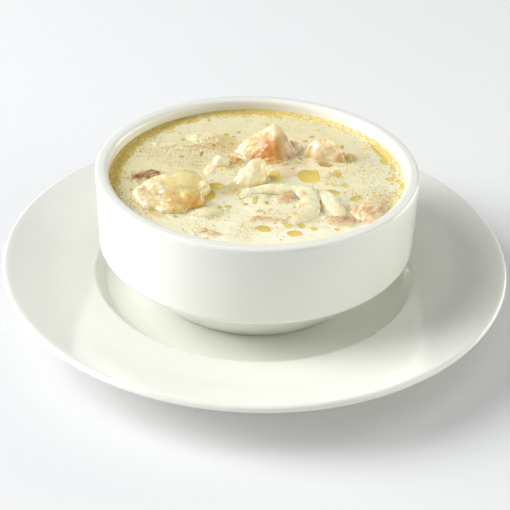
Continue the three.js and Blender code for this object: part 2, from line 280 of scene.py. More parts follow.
def broth_finish(soup):
    """Creamy soup in its painted shades, speckled with fine fat and froth."""
    finish = Finish(
        "creamy_broth", subsurface_weight=0.3, subsurface_radius=(1.0, 0.9, 0.7),
        subsurface_scale=2 * MM, specular_ior_level=0.45)
    clouds = finish.step(finish.noise(140, 4, 0.6), 0.35, 0.7)
    colours = finish.blend(0.7 * clouds, soup.cream, soup.deep)
    colours = finish.blend(1.0, colours, finish.tint(), "MULTIPLY")
    frothy = finish.node("ShaderNodeAttribute", {"attribute_name": "froth"}, {}, "Fac")
    bubbles = finish.cells(1500)
    rims = finish.step(bubbles, 0.30, 0.55) * frothy
    middles = finish.step(bubbles, 0.22, 0.08) * frothy
    colours = finish.blend(rims * 0.5, colours, (0.74, 0.64, 0.36), "MULTIPLY")
    colours = finish.blend(middles * 0.5, colours, srgb(255, 250, 222))
    grain = finish.noise(900, 3, 0.6)
    finish.set(
        base_color=colours,
        roughness=0.14 + 0.2 * grain + 0.1 * frothy,
        normal=finish.relief(0.10 * middles + 0.10 * finish.noise(260, 4, 0.6) * (0.3 + frothy)),
    )
    return finish.material


def oil_finish(name, dull=0.04):
    """Floating oil in its painted shades: smooth and very glossy."""
    finish = Finish(name, specular_ior_level=0.5, coat_roughness=0.03, subsurface_weight=0.25,
                    subsurface_radius=(1.0, 0.85, 0.4), subsurface_scale=1.2 * MM)
    drift = finish.noise(500, 2)
    clouds = finish.blend(drift, (1, 1, 1), (0.93, 0.9, 0.8))
    finish.set(
        base_color=finish.blend(1.0, finish.tint(), clouds, "MULTIPLY"),
        roughness=dull + 0.05 * drift,
        coat_weight=0.4 + 0.2 * finish.noise(300, 2),
        normal=finish.relief(0.02 * finish.noise(300, 2), 0.4),
    )
    return finish.material


def flesh_finish(name, mottle, scale, gloss, depth, grain=0.08, coat=0.4):
    """Wet cooked flesh: the piece's painted colour, mottled, with a glossy relief."""
    finish = Finish(
        name, subsurface_weight=depth, subsurface_radius=(1.0, 0.9, 0.72),
        subsurface_scale=2.6 * MM, specular_ior_level=0.5, coat_roughness=0.07)
    blotches = finish.step(finish.noise(scale, 4, 0.6), 0.3, 0.72)
    mottled = finish.blend(blotches, (1, 1, 1), mottle)
    fine = finish.noise(scale * 5, 4, 0.62)
    finish.set(
        base_color=finish.blend(1.0, finish.tint(), mottled, "MULTIPLY"),
        roughness=gloss + 0.2 * fine,
        coat_weight=coat + 0.2 * blotches,
        normal=finish.relief(grain * (fine + 2.5 * finish.noise(scale * 2, 3, 0.55))),
    )
    return finish.material


# ------------------------------------------------------------------ mesh helpers

def arc(centre, radius, start, end, steps):
    """Points of an arc in the half plane of a turned profile, angles in degrees."""
    points = []
    for i in range(steps + 1):
        angle = math.radians(start + (end - start) * i / steps)
        points.append((centre[0] + radius * math.cos(angle), centre[1] + radius * math.sin(angle)))
    return points


def spline(points, steps):
    """A smooth curve through the points."""
    curve = []
    padded = [points[0], *points, points[-1]]
    for i in range(1, len(padded) - 2):
        p0, p1, p2, p3 = (Vector(p) for p in padded[i - 1:i + 3])
        for j in range(steps):
            t = j / steps
            curve.append(tuple(0.5 * (
                2 * p1 + (p2 - p0) * t + (2 * p0 - 5 * p1 + 4 * p2 - p3) * t ** 2
                + (3 * p1 - p0 - 3 * p2 + p3) * t ** 3)))
    curve.append(tuple(points[-1]))
    return curve


def turned(bm, profile, segments):
    """Turns an open profile, from the axis below to the axis above, into a closed solid."""
    rings = []
    for radius, height in profile:
        if radius < TINY:
            rings.append([bm.verts.new((0, 0, height))])
            continue
        rings.append([
            bm.verts.new((
                radius * math.cos(math.tau * i / segments),
                radius * math.sin(math.tau * i / segments), height))
            for i in range(segments)])
    for lower, upper in zip(rings, rings[1:]):
        for i in range(segments):
            j = (i + 1) % segments
            if len(lower) == 1:
                bm.faces.new((lower[0], upper[j], upper[i]))
            elif len(upper) == 1:
                bm.faces.new((lower[i], lower[j], upper[0]))
            else:
                bm.faces.new((lower[i], lower[j], upper[j], upper[i]))


def add_piece(name, bm, material, slot, *nodes):
    """Turns a bmesh into a piece of the object, in place of its nodes if any are named."""
    mesh = bpy.data.meshes.new(name)
    bm.to_mesh(mesh)
    bm.free()
    return dress(bpy.data.objects.new(name, mesh), material, slot, *nodes)


def dress(piece, material, slot, *nodes):
    """Gives a piece its material and its body, in place of its nodes if any; its slot is not used."""
    if piece.name not in bpy.context.scene.collection.objects:
        bpy.context.scene.collection.objects.link(piece)
    piece.data.materials.clear()
    piece.data.materials.append(material)
    for polygon in piece.data.polygons:
        polygon.use_smooth = True
    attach(piece, BODY)
    if nodes:
        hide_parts(*nodes)
    return piece


def paint(piece, colour_at):
    """Writes the tint of each point, from its place and its outward direction."""
    mesh = piece.data
    tint = mesh.color_attributes.new("tint", "FLOAT_COLOR", "POINT")
    for vertex in mesh.vertices:
        tint.data[vertex.index].color = (*colour_at(vertex.co, vertex.normal), 1)


def mix(first, second, amount):
    """The first colour at 0, the second at 1, and between them their mixture."""
    amount = min(1.0, max(0.0, amount))
    return tuple(a + (b - a) * amount for a, b in zip(first, second))


def ramp(value, low, high):
    """0 at low, 1 at high, smooth between."""
    t = min(1.0, max(0.0, (value - low) / (high - low)))
    return t * t * (3 - 2 * t)


def near(place, middle, inner, outer):
    """1 within the inner distance of a middle, 0 beyond the outer one, smooth between."""
    return 1 - ramp((place - middle).length, inner, outer)


def waves(place, size, seed=0.0):
    """Smooth noise, about -1 to 1, with features of that size."""
    return noise.noise(place / size + Vector((seed, 1.7 * seed, 0.3 * seed)))


def folds(place, size, seed=0.0):
    """Sharp creases between soft rolls: 0 in the creases, about 1 on the rolls."""
    return min(1.0, abs(waves(place, size, seed)) * 2.4)


def knobs(place, size, seed=0.0):
    """Round bumps packed side by side: 1 at their tops, 0 between them."""
    nearest = noise.voronoi(place / size + Vector((seed, 1.7 * seed, 0.3 * seed)))[0][0]
    return max(0.0, 1 - 2.2 * nearest * nearest)


def long_axis(node):
    """The horizontal direction in which a node is longest."""
    points = [v.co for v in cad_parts[node].data.vertices]
    middle = sum(points, Vector()) / len(points)
    xx = sum((p.x - middle.x) ** 2 for p in points)
    yy = sum((p.y - middle.y) ** 2 for p in points)
    xy = sum((p.x - middle.x) * (p.y - middle.y) for p in points)
    angle = 0.5 * math.atan2(2 * xy, xx - yy)
    return Vector((math.cos(angle), math.sin(angle), 0))


def along_fibres(axis, stretch):
    """A matrix that shrinks places along an axis, so that noise runs in fibres along it."""
    side = Vector((-axis.y, axis.x, 0))
    return Matrix((axis / stretch, side, (0, 0, 1)))


def spot(x, y, height):
    """The place at x, y and a height above the soup, all in mm."""
    return Vector((x * MM, y * MM, SOUP_LEVEL + height * MM))


def swell(bm, x, y, height, long, wide, thick, turn=0):
    """Joins a rounded swelling to a piece: its middle above the soup and half sizes, in mm."""
    place = Matrix.Translation(LAYOUT + spot(x, y, height))
    spin = Matrix.Rotation(math.radians(turn), 4, "Z")
    size = Matrix.Diagonal((long * MM, wide * MM, thick * MM, 1))
    bmesh.ops.create_icosphere(bm, subdivisions=3, radius=1, matrix=place @ spin @ size)


def trail(*stations, steps=5):
    """Swellings along a bent strand: x, y, height, half width and half thickness of each."""
    swellings = []
    for start, end in zip(stations, stations[1:]):
        for step in range(steps + 1):
            x, y, height, wide, thick = (a + (b - a) * step / steps for a, b in zip(start, end))
            swellings.append((x, y, height, wide, wide, thick))
    return tuple(swellings)


def block(bm, corners):
    """Joins the flat-sided body that spans the corners: x, y and height above the soup, in mm."""
    points = [bm.verts.new(LAYOUT + spot(*corner)) for corner in corners]
    hull = bmesh.ops.convex_hull(bm, input=points)
    spare = {item for key in ("geom_interior", "geom_unused") for item in hull[key]}
    inner = [item for item in spare if isinstance(item, bmesh.types.BMVert)]
    bmesh.ops.delete(bm, geom=inner, context="VERTS")


def sculpt(node, relief, swellings=(), corners=(), smooth=8):
    """A fine skin over a piece's rough body, with relief(place, normal) in mm on it.

    The body is the block over its corners, or else the CAD node's solid, and its swellings.
    """
    bm = bmesh.new()
    if corners:
        block(bm, corners)
    else:
        bm.from_mesh(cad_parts[node].data)
        bmesh.ops.remove_doubles(bm, verts=bm.verts, dist=TINY)
    for swelling in swellings:
        swell(bm, *swelling)
    mesh = bpy.data.meshes.new(node + "_rough")
    bm.to_mesh(mesh)
    bm.free()
    piece = bpy.data.objects.new(node + "_food", mesh)
    bpy.context.scene.collection.objects.link(piece)
    skin = piece.modifiers.new("skin", "REMESH")
    skin.mode = "VOXEL"
    skin.voxel_size = SKIN_GRAIN
    soften = piece.modifiers.new("soften", "SMOOTH")
    soften.factor = 0.5
    soften.iterations = smooth
    divide = piece.modifiers.new("divide", "SUBSURF")
    divide.levels = divide.render_levels = 1
    depsgraph = bpy.context.evaluated_depsgraph_get()
    done = bpy.data.meshes.new_from_object(piece.evaluated_get(depsgraph))
    piece.modifiers.clear()
    piece.data = done
    moves = [vertex.normal * relief(vertex.co - LAYOUT, vertex.normal) * MM
             for vertex in done.vertices]
    for vertex, move in zip(done.vertices, moves):
        vertex.co += move
    done.update()
    return piece


# ------------------------------------------------------------------ bowl and saucer

def bowl_profile(dish):
    """From the axis under the foot, round the outside, over the lip and down the inside."""
    outside = BOWL_HIGH.x
    top = BOWL_HIGH.z
    base = BOWL_LOW.z
    inside = outside - dish.wall
    under = base + dish.foot_depth
    foot_inside = dish.foot_radius - dish.foot_width
    floor = under + dish.floor
    crease = (outside - dish.crease_round, base + dish.crease_rise + 0.4 * dish.crease_round)
    points = [(0, under), (foot_inside - 4 * MM, under)]
    points += [(foot_inside - 1 * MM, under), (foot_inside - 0.2 * MM, under - 0.7 * MM)]
    points += [(foot_inside + 0.5 * MM, base), (dish.foot_radius - 0.6 * MM, base)]
    fillet = ((0, 0.3), (0.3, 0.8), (0.9, 1.4), (1.7, 2.2), (2.6, 3.2))
    points += [(dish.foot_radius + out * MM, base + up * MM) for out, up in fillet]
    points += arc(crease, dish.crease_round, -44, 0, 10)
    points += [(outside, top - 20 * MM), (outside, top - 4 * MM)]
    points += arc((outside - dish.lip_outside, top - dish.lip_outside), dish.lip_outside, 0, 90, 8)
    points += arc((inside + dish.lip_inside, top - dish.lip_inside), dish.lip_inside, 90, 180, 8)
    turn = (inside - dish.floor_round, floor + dish.floor_round)
    points += reversed(arc(turn, dish.floor_round, FLOOR_TURN, 0, 12))
    points += [(FLAT_FLOOR, floor + FLOOR_RISE), (0, floor)]
    return points


def saucer_profile(dish):
    """From the axis under the floor, round the lip and down into the well."""
    lip = dish.saucer_lip
    radius = SAUCER_HIGH.x
    top = SAUCER_HIGH.z
    well_floor = BOWL_LOW.z
    under = well_floor - dish.saucer_thick
    ring_inside = dish.saucer_foot - dish.saucer_foot_width
    rim, rim_top = radius - dish.rim_run, top - dish.rim_below_lip
    points = [(0, under), (ring_inside - 4 * MM, under), (ring_inside - 1 * MM, under)]
    points += [(ring_inside - 0.1 * MM, 0.4 * MM), (ring_inside + 0.4 * MM, 0)]
    points += [(dish.saucer_foot - 0.6 * MM, 0), (dish.saucer_foot, 0.4 * MM)]
    underside = [
        (dish.saucer_foot + 0.8 * MM, under + 0.6 * MM),
        (dish.well_edge + 3 * MM, dish.well_edge_height - dish.saucer_thick),
        (rim, rim_top - dish.rim_thick),
        (radius - 3 * MM, top - lip - 0.3 * MM),
    ]
    points += spline(underside, 8)
    points += arc((radius - lip / 2, top - lip / 2), lip / 2, -60, 90, 12)
    upper = [
        (radius - lip / 2 - 0.8 * MM, top - 0.1 * MM),
        (rim, rim_top),
        (dish.well_edge + 14 * MM, dish.well_edge_height + 2.9 * MM),
        (dish.well_edge + 2 * MM, dish.well_edge_height),
        (dish.well_edge - 0.8 * MM, dish.well_edge_height - 0.9 * MM),
        (dish.well_floor + 1.4 * MM, well_floor + 1.6 * MM),
        (dish.well_floor - 1.6 * MM, well_floor + 0.6 * MM),
        (dish.well_floor - 8 * MM, well_floor),
    ]
    points += spline(upper, 6)
    points += [(dish.foot_radius, well_floor), (0, well_floor)]
    return points


class SOUP_OT_dish(bpy.types.Operator):
    """Turn the bowl and its saucer"""
    bl_idname = "soup.dish"
    bl_label = "Bowl and saucer"

    def execute(self, context):
        dish = context.scene.soup_dish
        for name, profile in (("bowl", bowl_profile(dish)), ("saucer", saucer_profile(dish))):
            bm = bmesh.new()
            turned(bm, profile, DISH_SEGMENTS)
            glaze = glaze_finish(name + "_glaze", tuple(dish.glaze))
            add_piece(name + "_porcelain", bm, glaze, name + "_glaze", name)
        return {"FINISHED"}


# ------------------------------------------------------------------ pieces in the soup

SOUP_FILM = srgb(250, 236, 196)


def above_soup(place):
    """Height over the soup, in millimetres."""
    return (place.z - SOUP_LEVEL) / MM


def filmed(shade, place, seed=0, high=1.3):
    """The shade of a wet piece, with a film of soup that thins out upwards."""
    edge = above_soup(place) + 0.5 * waves(place, 2 * MM, seed)
    return mix(SOUP_FILM, shade, ramp(edge, -0.3, high))


def finish_piece(piece, colour_at, material, slot, node):
    """Paints and dresses a sculpted piece, which takes its node's place."""
    paint(piece, lambda place, normal: colour_at(place - LAYOUT, normal))
    dress(piece, material, slot, node)


class SOUP_OT_skin(bpy.types.Operator):
    """Shape the big pieces of trotter skin"""
    bl_idname = "soup.skin"
    bl_label = "Trotter skin"

    # The corners of the wedge and the knuckle: round their feet, then along their ridges.
    wedge_corners = (
        (-10.2, 14.4, -2), (-8, 11.6, -2), (-3.7, 9, -2), (2, 6.4, -2), (7, 4.6, -2), (12, 5.6, -2),
        (14.8, 9.6, -2), (15.6, 14, -2), (13, 18, -2), (8, 21, -2), (0, 20.8, -2), (-6.4, 18.6, -2),
        (-9.2, 14.8, 1), (-4.6, 17.2, 5.8), (-0.6, 17.8, 8), (3.4, 18, 10), (6.2, 18.2, 11.5),
        (8.8, 18, 10.6), (10.4, 16.8, 8.4), (11.8, 15, 5.8), (14.2, 13.4, 2.6), (6.4, 10, 5.4),
    )
    wedge_foot = ((-4, 10.4, -0.6, 3.4, 2.4, 1.9, 150), (6.4, 7, -0.4, 4.4, 2.6, 1.8))
    knuckle_corners = (
        (16, 14.6, -2), (18, 11.4, -2), (23.4, 9, -2), (28.8, 8.8, -2), (33.6, 6.8, -2),
        (34.2, 10, -2), (31.6, 15, -2), (27, 18.4, -2), (19.6, 18, -2), (18.2, 15, 3.8),
        (20.6, 14.8, 6.6), (24.2, 15.2, 8.2), (27.6, 14.4, 8.2), (30.8, 12, 6.2), (33, 9.4, 3.2),
        (23.6, 11.8, 5.6), (28.2, 11.2, 5.8),
    )

    def wedge(self, material):
        cream, golden, orange = srgb(236, 204, 142), srgb(224, 178, 104), srgb(204, 142, 70)
        tan, pale, ridge = srgb(216, 188, 142), srgb(234, 212, 178), srgb(244, 224, 184)
        fleck = srgb(176, 118, 66)
        ember = spot(4.4, 11, 3)

        def relief(place, normal):
            strands = waves(Vector((place.x, place.y * 3, place.z * 0.5)), 3 * MM, 1)
            return 0.35 * waves(place, 5 * MM, 3) + 0.05 * waves(place, 1.1 * MM) + 0.1 * strands

        def colour(place, normal):
            height = above_soup(place)
            offset = place - ember
            offset.x *= 1.1
            glow = 1 - ramp(offset.length, 2 * MM, 8.5 * MM)
            along = Vector((place.x * 2, place.y * 2, place.z * 0.6 + place.x))
            strand = waves(along, 2.6 * MM, 4)
            shade = mix(cream, golden, 0.35 + 0.8 * waves(place, 3.4 * MM, 5))
            shade = mix(shade, orange, glow * (1.0 + 0.4 * waves(place, 2.4 * MM, 2)))
            right = ramp(place.x + 0.4 * (place.y - 12 * MM), 7 * MM, 11 * MM)
            shade = mix(shade, mix(tan, pale, 0.5 + 1.2 * strand), right)
            shade = mix(shade, ridge, ramp(height + 0.8 * strand, 7.4, 9.4))
            flecks = ramp(waves(place, 1.3 * MM, 9), 0.05, 0.3) * (1 - ramp(height, 1.2, 2.4))
            shade = mix(shade, fleck, 0.7 * flecks)
            return filmed(shade, place, 1, 0.6 + 4 * (1 - ramp(place.x, -9 * MM, -2 * MM)))

        piece = sculpt("trotter_wedge", relief, self.wedge_foot, self.wedge_corners, smooth=5)
        finish_piece(piece, colour, material, "skin", "trotter_wedge")

    def knuckle(self, material):
        pale, rosy, tan = srgb(252, 238, 204), srgb(240, 210, 164), srgb(228, 196, 140)
        brown, yellow = srgb(216, 172, 116), srgb(228, 206, 132)
        browned = spot(31.4, 8.6, 1.6)
        oily = spot(18.4, 12, 0.6)

        def relief(place, normal):
            rolls = 0.25 * knobs(place, 4.4 * MM, 8) + 0.5 * waves(place, 3.4 * MM, 6)
            return rolls + 0.08 * knobs(place, 1.4 * MM, 3) - 0.2

        def colour(place, normal):
            shade = mix(pale, rosy, 0.35 + 1.1 * waves(place, 3 * MM, 2))
            shade = mix(shade, tan, 0.6 * ramp(waves(place, 1.4 * MM, 5), 0, 0.5))
            shade = mix(shade, brown, 0.8 * near(place, browned, 1.2 * MM, 3.2 * MM))
            shade = mix(shade, yellow, 0.8 * near(place, oily, 1.4 * MM, 3.6 * MM))
            return filmed(shade, place, 2, 0.8)

        piece = sculpt("trotter_knuckle", relief, (), self.knuckle_corners, smooth=5)
        finish_piece(piece, colour, material, "skin", "trotter_knuckle")

    def lump(self, material):
        light, dark = srgb(250, 232, 176), srgb(232, 202, 148)

        def relief(place, normal):
            pressed = 0.6 * max(0, above_soup(place) - 0.6) * max(0, normal.z)
            return 0.35 * folds(place, 3 * MM, 4) - 0.3 - pressed

        def colour(place, normal):
            return filmed(mix(light, dark, 0.5 + waves(place, 2 * MM)), place, 3, 2.6)

        piece = sculpt("cream_lump", relief)
        finish_piece(piece, colour, material, "skin", "cream_lump")

    def execute(self, context):
        material = flesh_finish(
            "trotter_skin", mottle=(0.97, 0.92, 0.82), scale=260, gloss=0.16, depth=0.75, coat=0.35)
        self.wedge(material)
        self.knuckle(material)
        self.lump(material)
        return {"FINISHED"}


class SOUP_OT_jelly(bpy.types.Operator):
    """Shape the knobbly jelly and the gristle"""
    bl_idname = "soup.jelly"
    bl_label = "Jelly and gristle"

    # Painted highlights: the white glints on the jelly, painted at these spots: x, y and reach, in mm.
    glint_spots = (
        (-33.7, -23.6, 2), (-34.3, -17.2, 2), (-29.8, -18.2, 1.4), (-42, -20.6, 3),
        (-43.6, -23.4, 2), (-39.3, -29.4, 1.8), (-31, -28.8, 1.6), (-34.9, -27.4, 1.6),
        (-37.6, -22.4, 1.4), (-24.6, -12.4, 1.2),
    )
    # The corners of the jelly's middle, and the swellings that surround it.
    body = (
        (-38, -24, -2), (-30, -30, -2), (-22, -26, -2), (-22, -14, -2), (-36, -15, -2), (-30, -20, 3),
    )
    lobes = (
        (-31, -22, -0.5, 13, 9.4, 5), (-27, -16, 1.2, 9.2, 8.4, 6.6), (-31, -17.6, 1.4, 7, 7, 5.9),
        (-35, -18.8, 1.4, 7.2, 6.4, 5.2, 20), (-40.4, -22.6, 0.6, 4.6, 5, 4, -40),
        (-37, -27.4, 0, 6, 4.6, 3.4, -30), (-30.6, -29.4, 0, 7.4, 4.6, 3.6, -5),
        (-24, -25, 0.4, 6, 5.6, 4, 20), (-21.4, -16.6, 0.6, 4.6, 6, 4.2),
    )
    gristle_corners = (
        (10, 11, -1.5), (12, 8.8, -1.5), (15.6, 12.2, -1.5), (17.8, 18, -1.5), (16.6, 22.2, -1.5),
        (11.4, 23.6, -1.5), (9.2, 17, -1.5), (12.2, 13, 2.6), (15.4, 17, 3.6), (12.2, 20, 3.8),
        (16.4, 20, 2.6),
    )

    def jelly(self):
        yellow, clear, white = srgb(244, 224, 154), srgb(250, 238, 184), srgb(255, 252, 240)
        brown, pale, deep = srgb(226, 186, 106), srgb(246, 228, 180), srgb(214, 164, 66)
        dome_top = spot(-26, -15, 7)
        amber = spot(-21.5, -27, 0)

        def glint_cover(place):
            return max(near(place.xy, Vector((x, y)) * MM, 0.4 * reach * MM, reach * MM)
                       for x, y, reach in self.glint_spots)

        def relief(place, normal):
            dome = near(place, dome_top, 5 * MM, 9 * MM)
            grains = 0.2 * knobs(place, 3 * MM, 2) + 0.12 * knobs(place, 1.2 * MM, 6)
            grains += 0.5 * waves(place, 4.4 * MM, 2)
            return (1 - 0.9 * dome) * grains - 0.3 + 0.2 * glint_cover(place)

        def colour(place, normal):
            left = 1 - ramp(place.x + 0.4 * place.y, -47 * MM, -38 * MM)
            front = 1 - ramp(place.y + 0.25 * place.x, -36 * MM, -26 * MM)
            shade = mix(yellow, clear, 0.5 + 0.5 * waves(place, 4 * MM, 1))
            shade = mix(shade, brown, front * (0.8 + 0.7 * waves(place, 2 * MM, 3)))
            shade = mix(shade, pale, left * (0.6 + 0.9 * waves(place, 2.2 * MM, 8)))
            shade = mix(shade, deep, 0.9 * near(place, amber, 2 * MM, 7 * MM))
            # Painted highlights: white sparkles, most on the left, and white glints at the listed
            # spots.
            painted_sparkle = ramp(waves(place, 1.1 * MM, 12), 0.24, 0.4) * (0.2 + 0.6 * left)
            painted_glint = glint_cover(place) * (0.6 + 0.9 * waves(place, 1 * MM))
            return filmed(mix(shade, white, max(painted_sparkle, painted_glint)), place, 4, 0.4)

        piece = sculpt("jelly_cluster", relief, self.lobes, self.body, smooth=10)
        material = flesh_finish(
            "jelly", mottle=(0.97, 0.93, 0.84), scale=330, gloss=0.05, depth=1.0, grain=0.1, coat=0.7)
        finish_piece(piece, colour, material, "jelly", "jelly_cluster")

    def gristle(self):
        light, dark, front = srgb(240, 220, 186), srgb(214, 188, 150), srgb(236, 206, 166)

        def relief(place, normal):
            return 0.3 * waves(place, 3 * MM, 9) + 0.06 * waves(place, 1.2 * MM, 2) - 0.1

        def colour(place, normal):
            shade = mix(light, dark, 0.5 + waves(place, 2.4 * MM))
            return filmed(mix(front, shade, ramp(place.y, 13 * MM, 17 * MM)), place, 5, 0.8)

        piece = sculpt("grey_gristle", relief, (), self.gristle_corners, smooth=7)
        material = flesh_finish(
            "gristle", mottle=(0.94, 0.89, 0.82), scale=300, gloss=0.12, depth=0.5)
        finish_piece(piece, colour, material, "gristle", "grey_gristle")

    def execute(self, context):
        self.jelly()
        self.gristle()
        return {"FINISHED"}


class SOUP_OT_sinew(bpy.types.Operator):
    """Shape the white lumps and folds"""
    bl_idname = "soup.sinew"
    bl_label = "White sinew"

    nodes = ("white_lump", "small_white_lump", "skin_strip", "fold_arch", "white_sinew", "pale_fat")
    # Swellings that make up a piece's softer body, and the corners of its block.
    swellings = {
        "fold_arch": trail(
            (-5, -20.5, -0.5, 2.1, 1.7), (-3.8, -18, -0.1, 2.7, 2.1), (0, -16.4, 0.1, 3.1, 2.4),
            (5, -15.2, 0.3, 3.4, 2.6), (10.5, -14.6, 0.4, 3.5, 2.7), (15.6, -15, 0.5, 3.7, 2.8),
            (18.8, -17.8, 0.5, 4, 2.8), (19.6, -22.6, 0.3, 3.7, 2.6), (19, -28, 0.1, 4.2, 2.4),
            (17, -32.8, -0.1, 4.6, 2.2), (13.6, -36, -0.4, 3.4, 1.9), (9.6, -37, -0.7, 2.2, 1.5),
        ),
        "white_sinew": trail(
            (23.4, -15.8, 0, 2.6, 1.9), (25.8, -20.4, 0.4, 3.5, 2.6), (27.8, -25.4, 0.3, 3.9, 2.6),
            (29.2, -30, -0.2, 3.2, 2.1),
        ),
        "pale_fat": ((-19, -32.6, -0.2, 4.6, 3.4, 2), (-14, -31, -0.4, 3.6, 2.6, 1.6)),
        "small_white_lump": ((-14.8, 4.2, 0.8, 2.7, 2.7, 3.4), (-12.4, 3.8, 0.4, 2.3, 2.5, 2.9)),
    }
    corners = {
        "white_lump": (
            (-9.8, -9.6, -2), (-8.8, -12.2, -2), (-4, -14.2, -2), (2.6, -11.2, -2), (4, -5, -2),
            (2.4, -1.8, -2), (-3, -2.2, -2), (-7.4, -5, -2), (-2, -5, 8.4), (1, -4.2, 8.4),
            (2.8, -5, 6.6), (-4, -7.6, 6.6), (-7.6, -9.4, 4), (-8.8, -10, 2), (-2.6, -12.4, 3.4),
            (1.4, -9.8, 4.4),
        ),
        "small_white_lump": ((-15, 3, -1), (-12, 3, -1), (-14, 5, -1), (-13.6, 3.6, 2)),
        "fold_arch": ((8, -15, -1), (12, -15, -1), (10, -13, -1), (10, -14, 1)),
        "white_sinew": ((25, -21, -1), (27, -25, -1), (28, -24, -1), (26.4, -23, 1)),
    }
    # Where a piece takes another shade: x, y and reach in mm, and the shade.
    blushes = {
        "white_lump": ((4.4, -8.4, 6.4, srgb(238, 220, 146)),),
        "fold_arch": (
            (15.4, -20.4, 3.4, srgb(236, 196, 150)), (15, -27, 3.4, srgb(236, 192, 148)),
            (12, -33, 4, srgb(236, 190, 144)), (9.4, -37, 2.4, srgb(196, 146, 92)),
        ),
    }

    def execute(self, context):
        material = flesh_finish(
            "sinew", mottle=(0.97, 0.93, 0.84), scale=240, gloss=0.1, depth=0.75, grain=0.07, coat=0.6)
        low, high, tan = srgb(254, 234, 190), srgb(255, 244, 210), srgb(238, 210, 168)
        for seed, node in enumerate(self.nodes):
            fibres = along_fibres(long_axis(node), 2.5)

            def relief(place, normal):
                rolls = 0.5 * waves(place, 3.6 * MM, seed)
                rolls += 0.3 * waves(fibres @ place, 2 * MM, seed)
                return rolls + 0.12 * knobs(place, 1.2 * MM, seed) - 0.1

            def colour(place, normal):
                height = ramp(above_soup(place), 0.2, 3)
                shade = mix(low, high, height + 0.4 * waves(place, 2.5 * MM, seed))
                rosy = 0.3 * ramp(waves(place, 4 * MM, 7 + seed), 0.15, 0.5)
                shade = mix(shade, tan, rosy)
                for x, y, reach, blush in self.blushes.get(node, ()):
                    cover = near(place.xy, Vector((x, y)) * MM, 0.3 * reach * MM, reach * MM)
                    cover *= 0.7 + waves(fibres @ place, 1.6 * MM, seed)
                    shade = mix(shade, blush, cover)
                sunk = 1 - ramp(place.x, -5 * MM, 4 * MM) if node == "fold_arch" else 0
                return filmed(shade, place, seed, 0.8 + 2.6 * sunk)

            smooth = 6 if node == "white_lump" else 14
            swellings, corners = self.swellings.get(node, ()), self.corners.get(node, ())
            piece = sculpt(node, relief, swellings, corners, smooth)
            finish_piece(piece, colour, material, "sinew", node)
        return {"FINISHED"}


class SOUP_OT_meat(bpy.types.Operator):
    """Shape the shreds of meat"""
    bl_idname = "soup.meat"
    bl_label = "Meat"

    # The pieces that lie under a film of soup.
    sunk = ("tendon_strip", "edge_meat", "fold_meat")
    # The light and the dark strands of each shred.
    shades = {
        "orange_morsel": (srgb(242, 204, 142), srgb(204, 146, 86)),
        "brown_morsel": (srgb(204, 166, 128), srgb(126, 90, 58)),
        "tendon_strip": (srgb(240, 216, 176), srgb(178, 138, 98)),
        "fold_meat": (srgb(236, 196, 146), srgb(186, 128, 78)),
        "fibrous_meat": (srgb(252, 236, 200), srgb(226, 184, 134)),
        "lower_shreds": (srgb(236, 206, 164), srgb(184, 138, 98)),
        "pink_strip": (srgb(244, 206, 152), srgb(218, 160, 106)),
        "edge_meat": (srgb(240, 200, 150), srgb(206, 152, 98)),
    }
    swellings = {
        "fibrous_meat": (
            (39, -30, -0.2, 7, 5.6, 3, -50), (43.4, -25, 0.1, 5.2, 1.6, 1.9, -40),
            (45.6, -22.8, -0.3, 5, 1.3, 1.4, -38), (38, -26, 0.3, 4.4, 2, 2.3, 40),
        ),
        "lower_shreds": ((31.6, -34, -0.1, 6.2, 2.7, 1.6, -8), (26.2, -33, -0.2, 3, 1.4, 1.4, -20)),
        "brown_morsel": ((-42.2, -7, 0, 7.6, 3.8, 1.9, 31),),
        "fold_meat": ((11.4, -19.8, 0, 5.2, 2.8, 1.9, 20),),
        "pink_strip": (
            (0.2, -35.8, -0.2, 3.6, 1.6, 1.5, 32), (5.4, -35.6, -0.2, 4.6, 1.6, 1.5, -12),
            (11.6, -34.2, -0.2, 4, 1.2, 1.4, 38),
        ),
    }

    def execute(self, context):
        material = flesh_finish(
            "meat", mottle=(0.92, 0.83, 0.68), scale=420, gloss=0.16, depth=0.6, grain=0.1, coat=0.35)
        for seed, (node, (light, dark)) in enumerate(self.shades.items()):
            fibres = along_fibres(long_axis(node), 5)

            def relief(place, normal):
                strands = 0.16 * folds(fibres @ place, 1.4 * MM, seed)
                strands += 0.2 * knobs(place, 1.6 * MM, seed)
                return strands + 0.4 * waves(place, 2.5 * MM, seed) - 0.3

            def colour(place, normal):
                strand = waves(fibres @ place, 0.9 * MM, seed + 3)
                shade = mix(light, dark, 0.45 + 0.9 * strand + 0.3 * waves(place, 3 * MM, seed))
                specks = ramp(waves(place, 0.9 * MM, seed + 7), 0.2, 0.4)
                shade = mix(shade, SOUP_FILM, 0.7 * specks * (1 - ramp(above_soup(place), 0.6, 2.2)))
                return filmed(shade, place, seed, 2.4 if node in self.sunk else 1.4)

            piece = sculpt(node, relief, self.swellings.get(node, ()), smooth=6)
            finish_piece(piece, colour, material, "meat", node)
        return {"FINISHED"}


# ------------------------------------------------------------------ broth and oil

def pieces_tree():
    """The pieces that stand in the soup, as one tree to measure distances to."""
    vertices, faces = [], []
    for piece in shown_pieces():
        if piece.name.endswith("_food"):
            start = len(vertices)
            vertices += [vertex.co.copy() for vertex in piece.data.vertices]
            faces += [[start + i for i in polygon.vertices] for polygon in piece.data.polygons]
    return BVHTree.FromPolygons(vertices, faces)


